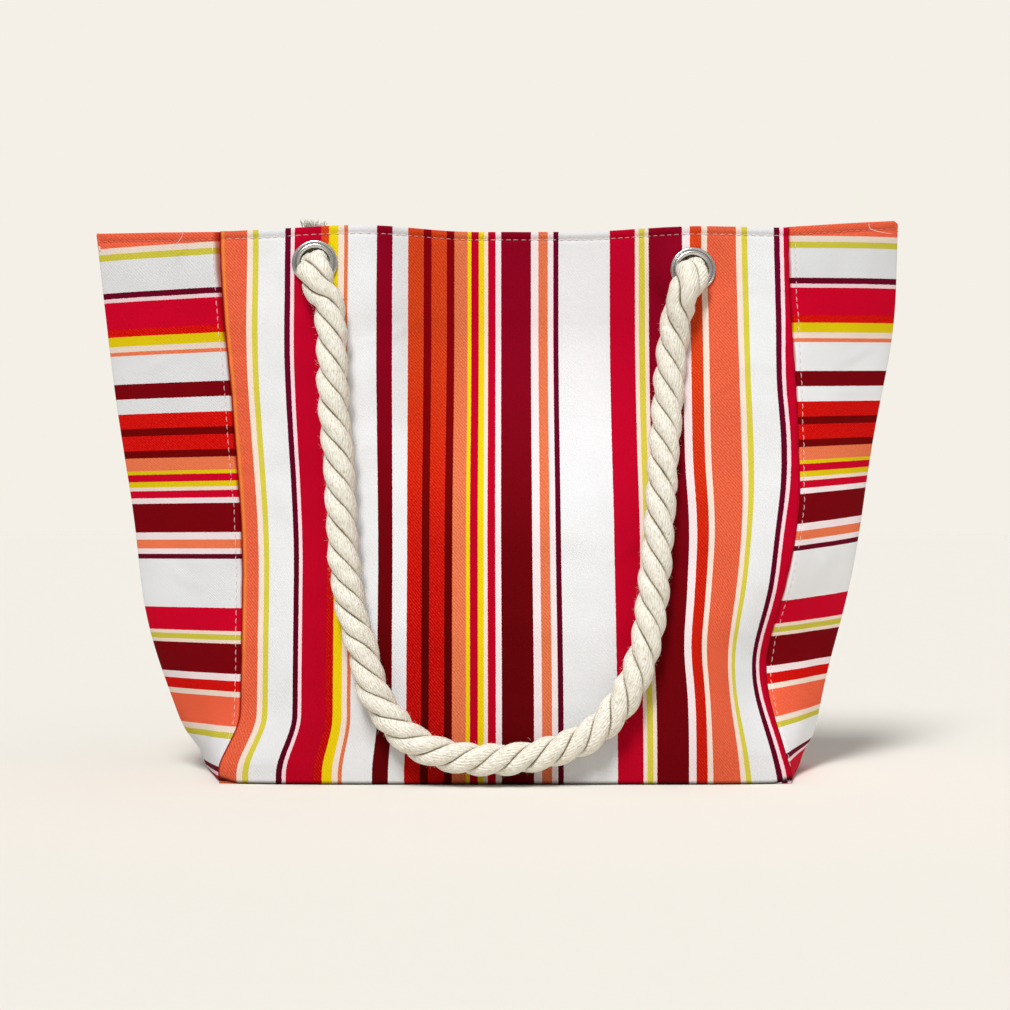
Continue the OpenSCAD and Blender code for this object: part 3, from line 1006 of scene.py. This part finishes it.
def panel_surface(face, u, z, inward):
    """Points of a panel, so far inside its outer face."""
    side_y, seed = FACES[face], SEEDS[face]
    x = panel_x(u, z)
    from_left = u - trim_left(z)
    from_right = CLOTH_W - u
    edge = np.minimum(from_left, from_right)
    calm = 1 - 0.85 * pinch(x, z)
    depth = panel_depth(u, z) + wrinkles(u, z, seed) * calm
    depth = depth + creases(x, z, CREASES[face]) * calm
    depth = depth + swells(x, z, SWELLS[face]) * calm
    # The edge of the panel rolls back into the seam
    depth = depth + 0.0007 * smooth(edge / 0.002) * bump(edge, 0.0022, 0.0030)
    depth = depth - 0.0024 * (1 - smooth(edge / 0.0016))
    # Puckers beside the sewn seams and under the hem
    pucker = 0.00045 * ripple(z, edge * 0.2, 0.016, seed + 5) * np.exp(-edge / 0.012)
    pucker = pucker + 0.0004 * ripple(u, z * 0.2, 0.020, seed + 6) * np.exp(-np.abs(RIM_Z - z) / 0.016)
    depth = depth + pucker
    # Row of hem stitches lies in a shallow groove, with a fuller fold over it
    depth = depth - 0.00065 * bump(z, HEM_Z, 0.0010) + 0.0005 * bump(z, HEM_Z + 0.0030, 0.0016)
    depth = settle(x, z, depth)
    lift = rim_lift(x) * smooth((z - 0.25) / 0.118) + corner_rise(edge, z)
    return stack(x, side_y * (depth - inward), z + lift)


def foot_shade(z, low):
    """Painted shade that thickens downwards, and painted shadow in the cloth's last few millimetres above
    the floor.
    """
    return low * (1 - smooth(z / 0.140)) + 0.85 * (1 - smooth((z - 0.0004) / 0.0028))


def thicken(obj, thickness):
    mod = obj.modifiers.new("thickness", "SOLIDIFY")
    mod.thickness = thickness
    mod.offset = -1


def panel(face):
    us = spread_rows(0, CLOTH_W, 0.0030, close_to=(0.002, CLOTH_W - 0.002), reach=0.003)
    heights, inwards, face_rows = wall_rows(0.0030)
    trim = trim_left(heights)[:, None]
    u = trim + (us / CLOTH_W)[None, :] * (CLOTH_W - trim)
    z, _ = crossed(heights, us)
    points = panel_surface(face, u, z, inwards[:, None])
    outside = np.arange(len(heights))[:, None] < face_rows + TUCKED
    length = z.copy()
    length[face_rows:] = 2 * RIM_Z - z[face_rows:]
    # Painted shade: a darker band over the hem, a dark line in the stitch row's groove, and painted shade at
    # the foot
    shade = 0.10 * smooth((z - HEM_Z) / 0.002) + 0.20 * bump(z, HEM_Z, 0.0007) + foot_shade(z, 0.16)
    from_left = u - trim_left(z)
    # Painted shade in the left seam's ditch, a painted highlight on the edge beside it, and the depth of the
    # dye
    painted_seam_light_and_dye = stack(1 - smooth((from_left - 0.0006) / 0.0012),
                   0.75 * bump(from_left, 0.0026, 0.0009) * smooth((z - 0.05) / 0.05),
                   (1 - smooth((z - 0.07) / 0.25)) * (1.25 - 0.45 * smooth((u - 0.17) / 0.10)))
    cloth = stack(printed_place(u, z), length, shade * outside)
    obj = mesh_object(f"{face}_panel_cloth", points, facing(grid_faces(*u.shape), face == "back"),
                      {"cloth": cloth, "edge": painted_seam_light_and_dye})
    cut_eyelets(obj)
    thicken(obj, CANVAS)
    fit_out(obj, "canvas", f"{face}_panel")


def gusset_lift(side, to_fold):
    """Rise of the gusset's rim from the seams to the fold, whose tip is rounded off."""
    if side < 0:
        return -0.0040 + 0.0035 * to_fold
    return -0.0006 + 0.0092 * to_fold - 0.0022 * smooth((to_fold - 0.93) / 0.07)


def gusset_print(side, z, to_fold):
    """Place in the print at a height; the cloth is cut so that the stripes rise a little to the fold."""
    down = RIM_Z - z
    place = 0.94 * down + 0.26 * down ** 2
    if side < 0:
        low = (0.0042 + 0.0030 * to_fold) * (1 - smooth(z / 0.060))
        return 0.0055 + place + 0.0037 * (1 - smooth((down - 0.014) / 0.026)) - 0.001 * to_fold - low
    tilt = 0.0032 + 0.0030 * bump(z, 0.165, 0.050)
    return 0.0112 + place + 0.0016 * (1 - smooth((down - 0.010) / 0.026)) + tilt * to_fold


def gusset_surface(side, share, z, inward, seed):
    """Points of a gusset; share runs from -1 at the front seam to 1 at the back seam."""
    seam_x, seam_d = seam_point(side, z)
    fx = fold_x(side, z)
    round_off = 0.035
    bend = (np.sqrt(share ** 2 + round_off ** 2) - round_off) / (math.sqrt(1 + round_off ** 2) - round_off)
    seam_x = seam_x + side * 0.0002
    seam_d = seam_d - 0.0012
    x = fx + (seam_x - fx) * bend
    y = seam_d * share
    # Each half bellies a little, and rolls up out of the seam's ditch
    half = np.hypot(fx - seam_x, seam_d)
    nx, ny = side * seam_d / half, (np.abs(fx - seam_x)) / half
    to_seam = (1 - np.abs(share)) * half
    belly = 0.0016 * np.sin(math.pi * np.abs(share)) * smooth(z / 0.05)
    belly = belly - 0.0022 * np.exp(-to_seam / 0.0016)
    belly = belly - 0.0004 * bump(to_seam, 0.0046, 0.0010)
    belly = belly + wrinkles(share * GUSSET_HALF, z, seed) * np.sin(math.pi * np.abs(share)) ** 0.5
    belly = belly + 0.0005 * ripple(z, to_seam * 0.2, 0.018, seed + 3) * np.exp(-to_seam / 0.012)
    belly = belly - 0.0006 * bump(z, HEM_Z, 0.0010)
    belly = belly + creases(share * GUSSET_HALF, z, CREASES["left" if side < 0 else "right"])
    belly = belly - tuck(z) * 0.7
    x = x + (belly - inward) * nx
    y = y + (belly - inward) * ny * np.sign(share) * smooth(np.abs(share) / 0.12)
    lift = gusset_lift(side, 1 - np.abs(share)) * smooth((z - 0.22) / 0.148) + corner_rise(to_seam, z)
    return stack(x, y, z + lift)


def gusset(word):
    side = SIDES[word]
    v = spread_rows(0, 1, 0.033, close_to=(0.04, 0.95), fine=0.010, reach=0.05)
    heights, inwards, face_rows = wall_rows(0.0035)
    z, share = crossed(heights, np.concatenate([-v[::-1][:-1], v]))
    points = gusset_surface(side, share, z, inwards[:, None], SEEDS[word])
    to_fold = 1 - np.abs(share)
    outer_rows = face_rows + TUCKED
    printed = gusset_print(side, points[..., 2], to_fold)
    printed[outer_rows:] = printed[outer_rows - 1] - (RIM_Z - z[outer_rows:])
    outside = np.arange(len(heights))[:, None] < outer_rows
    # Painted shade: a darker band over the hem, a dark line in the stitch row's groove, and painted shade at
    # the foot
    shade = 0.10 * smooth((z - HEM_Z) / 0.002) + 0.35 * bump(z, HEM_Z, 0.0009) + foot_shade(z, 0.03)
    seam_x, seam_d = seam_point(side, z)
    to_seam = to_fold * np.hypot(fold_x(side, z) - seam_x, seam_d)
    # Painted shade in the seam's ditch, in a reddish tint; at the top of the left seam it is wider
    ditch_wide = 0.0016 + (0.0034 * smooth((z - 0.255) / 0.100) if side < 0 else 0.0)
    painted_seam_light_and_dye = stack(0.9 * (1 - smooth((to_seam - 0.3 * ditch_wide) / (0.7 * ditch_wide))), 0.0, 0.8)
    # Painted shade on the gussets' white parts, stronger towards the top
    painted_gusset_shade = 0.06 + 0.17 * smooth(z / RIM_Z) if side < 0 else 0.20 * smooth((z - 0.255) / 0.090)
    # Painted light on the lower part of the right gusset
    lit = 0.0 if side < 0 else 1 - smooth((z - 0.10) / 0.26)
    cloth = stack(printed, share * GUSSET_HALF, shade * outside)
    # The gussets' third attribute: painted shade on the white parts, painted light at half strength on the
    # dyes, and painted light
    obj = mesh_object(f"{word}_gusset_cloth", points, facing(grid_faces(*share.shape), side < 0),
                      {"cloth": cloth, "edge": painted_seam_light_and_dye, "gusset_painted_light": stack(painted_gusset_shade, 0.5, lit)})
    thicken(obj, CANVAS)
    fit_out(obj, "canvas", f"{word}_gusset")


def lining_rows(count):
    return np.linspace(0.0055, RIM_Z - HEM_IN + 0.006, count)


def lining(obj, word):
    thicken(obj, LINING)
    fit_out(obj, "lining", f"{word}_lining")


def lining_panel(face):
    us = np.linspace(0.0026, CLOTH_W - 0.0026, 128)
    heights = lining_rows(112)
    u = trim_left(heights)[:, None] * (1 - us / CLOTH_W)[None, :] + us[None, :]
    z, _ = crossed(heights, us)
    points = panel_surface(face, u, z, LINING_IN + 0.0013)
    obj = mesh_object(f"{face}_lining_cloth", points, facing(grid_faces(*u.shape), face == "back"),
                      {"cloth": stack(u, z, 0)})
    cut_eyelets(obj)
    lining(obj, face)


def lining_gusset(word):
    side = SIDES[word]
    z, share = crossed(lining_rows(106), np.linspace(-0.974, 0.974, 67))
    points = gusset_surface(side, share, z, LINING_IN + 0.0017, SEEDS[word])
    obj = mesh_object(f"{word}_lining_cloth", points, facing(grid_faces(*share.shape), side < 0),
                      {"cloth": stack(share * GUSSET_HALF, z, 0)})
    lining(obj, word)


def base_outline(inset, count=49):
    """The bag's outline at the base, anticlockwise from the front left seam."""
    us = np.linspace(trim_left(np.array(0.0)), CLOTH_W, count)
    zero = np.zeros(count)
    x, d = panel_x(us, zero), panel_depth(us, zero)
    front = np.stack([x, -d], axis=1)
    back = np.stack([x[::-1], d[::-1]], axis=1)
    v = np.linspace(-1, 1, 25)[1:-1]
    right = gusset_surface(1, v, np.zeros(len(v)), 0.0, 3)[:, :2]
    left = gusset_surface(-1, v[::-1], np.zeros(len(v)), 0.0, 4)[:, :2]
    loop = np.concatenate([front, right, back, left])
    return loop * (1 - inset / np.abs(loop).max(axis=0))


def flat_cloth(name, node, z, thickness, inset, swell, material, seed):
    """A flat piece of cloth that fills the base outline, made of nested rings."""
    loop = base_outline(inset)
    count = len(loop)
    steps = np.linspace(1, 0.02, 40)
    rings = loop[None, :, :] * steps[:, None, None]
    uneven = 1 + 0.5 * ripple(rings[..., 0], rings[..., 1], 0.12, seed)
    height = z + swell * (1 - steps[:, None] ** 6) * uneven
    points = np.concatenate([rings, height[..., None]], axis=2).reshape(-1, 3)
    faces = grid_faces(len(steps), count, close=True)
    faces.append(tuple((len(steps) - 1) * count + i for i in range(count)))
    cloth = stack(points[:, 0] + CLOTH_W / 2, points[:, 1], 0.0)
    obj = mesh_object(name, points, faces, {"cloth": cloth, "edge": np.zeros_like(cloth)})
    thicken(obj, thickness)
    fit_out(obj, material, node)
    wide = loop.max(axis=0) - loop.min(axis=0)
    x, y = loop[:, 0], loop[:, 1]
    area = 0.5 * abs(float(np.dot(x, np.roll(y, 1)) - np.dot(y, np.roll(x, 1))))
    min(area, wide[0] * wide[1])


# ---------------------------------------------------------------- stitches

STITCH = 0.0037
STITCH_PITCH = 0.0052
STITCH_R = 0.00036
STITCH_SIDES = 6


def stitch_rows(rows):
    """Short thread capsules along each row of (surface points, normals, place in the print, paleness)."""
    pieces = []
    rng = np.random.default_rng(8)
    share = np.linspace(0, 1, 7)
    for row, normal, printed, pale in rows:
        far = travelled(row)
        for i in range(int((far[-1] - 0.002) / STITCH_PITCH)):
            start = 0.002 + i * STITCH_PITCH + rng.uniform(-0.0002, 0.0002)
            at = start + STITCH * share
            centre = np.stack([np.interp(at, far, row[:, k]) for k in range(3)], axis=1)
            up = np.stack([np.interp(at, far, normal[:, k]) for k in range(3)], axis=1)
            up /= np.linalg.norm(up, axis=1)[:, None]
            along = np.gradient(centre, axis=0)
            along /= np.linalg.norm(along, axis=1)[:, None]
            thick = STITCH_R * np.sin(math.pi * np.clip(share, 0.03, 0.97)) ** 0.35
            centre = centre + up * (0.00045 * np.sin(math.pi * share) - 0.00005)[:, None]
            p = tube(centre, np.cross(along, up), up, thick, STITCH_SIDES)
            place = np.repeat(np.interp(at, far, printed)[:, None], STITCH_SIDES, axis=1)
            pieces.append((p, tube_faces(len(share), STITCH_SIDES), stack(place, at[:, None], pale)))
    return join(pieces)


def hem_row(face):
    u = np.linspace(0.003, CLOTH_W - 0.003, 300)
    z = np.full(u.shape, HEM_Z)
    row = panel_surface(face, u, z, 0.0)
    return row, panel_surface(face, u, z, -0.001) - row, printed_place(u, z), 0.45


def gusset_row(word, share, z, pale):
    side, seed = SIDES[word], SEEDS[word]
    row = gusset_surface(side, share, z, 0.0, seed)
    out = gusset_surface(side, share, z, -0.001, seed)
    normal = np.where(np.abs(out - row).sum(axis=1)[:, None] > 1e-7, out - row, [side * 1.0, 0, 0])
    return row, normal, gusset_print(side, row[:, 2], 1 - np.abs(share)), pale


def gusset_hem_row(word):
    share = np.linspace(-0.97, 0.97, 200)
    return gusset_row(word, share, np.full(share.shape, HEM_Z), 0.16)


def gusset_side_row(word, end):
    z = np.linspace(0.006, HEM_Z - 0.003, 400)
    seam_x, seam_d = seam_point(SIDES[word], z)
    half = np.hypot(fold_x(SIDES[word], z) - seam_x, seam_d)
    return gusset_row(word, end * (1 - 0.0046 / half), z, 0.6)


def stitches(name, rows):
    points, faces, cloth = stitch_rows(rows)
    obj = mesh_object(name, points, faces, {"cloth": cloth})
    fit_out(obj, "thread")


# ---------------------------------------------------------------- metal


def lathe(profile, segments=72):
    """Points and faces of a closed profile of (radius, height) turned round the local +Z."""
    turn = np.linspace(0, math.tau, segments, endpoint=False)[:, None]
    radius, height = np.array(profile, float).T[:, None, :]
    points = stack(radius * np.cos(turn), radius * np.sin(turn), height)
    count = len(profile)
    faces = []
    for s in range(segments):
        t = (s + 1) % segments
        for i in range(count):
            j = (i + 1) % count
            faces.append((s * count + i, t * count + i, t * count + j, s * count + j))
    return points.reshape(-1, 3), faces


def arc(cx, cz, r, a0, a1, steps):
    return [(cx + r * math.cos(math.radians(a)), cz + r * math.sin(math.radians(a)))
            for a in np.linspace(a0, a1, steps)]


def eyelet_place(points, face, word):
    """Turns local points, +Z out of the bag, into place at an eyelet."""
    side, side_y = SIDES[word], FACES[face]
    height = EYELET_Z[side]
    depth = depth_at(side * EYELET_X, height)
    c, s = math.cos(LEAN), math.sin(LEAN)
    x = points[:, 0] + side * EYELET_X
    y = -(depth + points[:, 2] * c) + points[:, 1] * s
    z = height + points[:, 2] * s + points[:, 1] * c
    return np.stack([x, -y * side_y, z], axis=1)


def eyelet_profile():
    bore, rim, back = EYELET_BORE, EYELET_RIM, EYELET_BACK
    face = 0.0005
    return (
        arc(rim - 0.0009, face + 0.0009, 0.0009, -80, 150, 12)
        + [(rim - 0.0021, face + 0.0005), (rim - 0.0026, face + 0.0007)]
        + arc(bore + 0.0017, face + 0.0006, 0.0016, 62, 180, 11)
        + [(bore, back + 0.0005)]
        + arc(bore + 0.0012, back, 0.0012, 180, 360, 9)
        + [(bore + 0.0017, back + 0.0004), (bore + 0.0007, back + 0.0006), (bore + 0.0007, face)]
    )


def washer_profile():
    bore, rim, low = EYELET_BORE + 0.0009, EYELET_RIM, EYELET_BACK
    return [(bore, low), (rim - 0.0004, low), (rim, low + 0.0003), (rim - 0.0002, low + 0.0006),
            (bore, low + 0.0008)]


def metal_ring(kind, profile, face, word):
    name = f"{face}_{word}_{kind}"
    points, faces = lathe(profile)
    obj = mesh_object(f"{name}_ring", eyelet_place(points, face, word), facing(faces, face == "back"))
    fit_out(obj, "nickel", name)


# ---------------------------------------------------------------- knots


def knot_path(tail):
    """Local middle line of a stopper knot: +Z out of the bag, +Y up; it starts in the eyelet."""
    ring = 0.0118
    mid = -0.0160
    path = [(0, 0, 0.0010), (0, 0, -0.0060), (0.0015, -0.004, -0.0110)]
    for a in np.linspace(-70, 250, 12):
        t = math.radians(a)
        lift = 0.0052 * math.sin(2 * t + 0.6)
        path.append((ring * math.cos(t), ring * math.sin(t), mid + lift))
    path += [(0.004, -0.003, mid - 0.0085), *tail]
    return path


TAILS = {
    ("front", "left"): [(-0.002, 0.008, -0.0235), (-0.003, 0.018, -0.0205), (-0.0025, 0.0290, -0.0165)],
    ("front", "right"): [(0.004, -0.012, -0.0245), (0.009, -0.022, -0.0235), (0.012, -0.032, -0.0215)],
    ("back", "left"): [(0.006, -0.010, -0.0245), (0.012, -0.018, -0.0235), (0.016, -0.028, -0.0215)],
    ("back", "right"): [(-0.004, -0.012, -0.0245), (-0.008, -0.022, -0.0235), (-0.010, -0.032, -0.0215)],
}


def knot(face, word):
    name = f"{face}_{word}_knot"
    line = soften(spline(knot_path(TAILS[face, word]), ROPE_STEP), 6)
    far = travelled(line)
    size = 0.88 - 0.07 * smooth((far - 0.010) / 0.012)
    end = smooth((far - (far[-1] - 0.009)) / 0.009)
    points, faces, yarn = laid_rope(line, far, 0.4, size * (1 - 0.12 * end), 0.0012 * end)
    laid = points, facing(faces, face == "back"), yarn
    points, faces, yarn = join([laid, fray(line)])
    obj = mesh_object(f"{name}_tied", eyelet_place(points, face, word), faces, {"yarn": yarn})
    return fit_out(obj, "rope", name)


def fray(line):
    """A brush of loose yarns on the cut end of a rope."""
    rng = np.random.default_rng(21)
    tip = line[-1]
    along = line[-1] - line[-6]
    along /= np.linalg.norm(along)
    side = np.cross(along, [0.2, 0.1, 0.9])
    side /= np.linalg.norm(side)
    up = np.cross(along, side)
    pieces = []
    for _ in range(FRAYED_YARNS):
        r, a = 0.0078 * math.sqrt(rng.uniform()), rng.uniform(0, math.tau)
        root = tip - along * 0.003 + side * r * math.cos(a) + up * r * math.sin(a)
        lean = (side * math.cos(a) + up * math.sin(a)) * rng.uniform(0.1, 0.6)
        curl = np.cross(along, lean) * rng.uniform(-0.8, 0.8)
        length = rng.uniform(0.0045, 0.0075)
        t = np.linspace(0, 1, 5)[:, None]
        hair = root + (along * t + lean * t ** 2 + curl * t ** 2) * length
        pieces.append(hair_tube(hair, 0.00042))
    return join(pieces)


def hair_tube(line, radius, sides=4):
    """A thin yarn that tapers towards its end, as (points, faces, yarn attribute)."""
    side, up = frames(line)
    ring = np.linspace(0, math.tau, sides, endpoint=False)
    points = tube(line, side, up, radius * np.linspace(1, 0.35, len(line)), sides)
    yarn = stack(ring[None, :] * radius, np.linspace(0, 0.01, len(line))[:, None], 0.0)
    return points, tube_faces(len(line), sides), yarn


# ---------------------------------------------------------------- making

camera()

MATERIALS = {
    "canvas": canvas_material("printed_canvas"),
    "lining": lining_material(),
    "rope": rope_material(),
    "nickel": metal_material("nickel", srgb(214, 212, 208), 0.16, 0.12),
    "snap": metal_material("snap", srgb(196, 194, 190), 0.26, 0.16),
    "thread": thread_material(),
    "board": board_material(),
}

handles = {face: handle(face) for face in FACES}
knots = {(face, word): knot(face, word) for face in FACES for word in SIDES}
for face, (obj, line, length) in handles.items():
    tuple(line[0])
    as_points(line)

light()
floor()

for face in FACES:
    panel(face)
for word in SIDES:
    gusset(word)
for face in FACES:
    lining_panel(face)
for word in SIDES:
    lining_gusset(word)
flat_cloth("base_panel_cloth", "base_panel", 0.0014, CANVAS, 0.0006, 0.0, "canvas", 5)
flat_cloth("base_lining_cloth", "base_lining", 0.0043, LINING, 0.0040, 0.0012, "lining", 6)

stitches("hem_stitches", [hem_row(face) for face in FACES])
stitches("gusset_hem_stitches", [gusset_hem_row(word) for word in SIDES])
stitches("seam_stitches", [gusset_side_row(word, end) for word in SIDES for end in (-1, 1)])

for face in FACES:
    for word in SIDES:
        metal_ring("eyelet", eyelet_profile(), face, word)
        metal_ring("washer", washer_profile(), face, word)


def loose_threads():
    """Two snipped thread ends that curl off the rims of the gussets."""
    left = [(-0.2235, -0.0325, 0.3535), (-0.2200, -0.0350, 0.3560), (-0.2165, -0.0372, 0.3600),
            (-0.2150, -0.0378, 0.3645), (-0.2162, -0.0372, 0.3668)]
    right = [(0.2466, -0.0236, 0.3711), (0.2473, -0.0228, 0.3690), (0.2487, -0.0216, 0.3677),
             (0.2540, -0.0172, 0.3669), (0.2600, -0.0122, 0.3665), (0.2655, -0.0076, 0.3664)]
    points, faces, _ = join([hair_tube(spline(way, 0.0008), 0.00030, sides=6) for way in (left, right)])
    obj = mesh_object("loose_threads", points, faces, {"cloth": np.tile([0.0, 0.0, 0.9], (len(points), 1))})
    fit_out(obj, "thread")


loose_threads()


def repaint(node, key):
    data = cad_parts[node].data
    data.materials.clear()
    data.materials.append(MATERIALS[key])


for node in ("snap_socket", "snap_stud", "snap_socket_plate", "snap_stud_plate"):
    repaint(node, "snap")
repaint("base_board", "board")
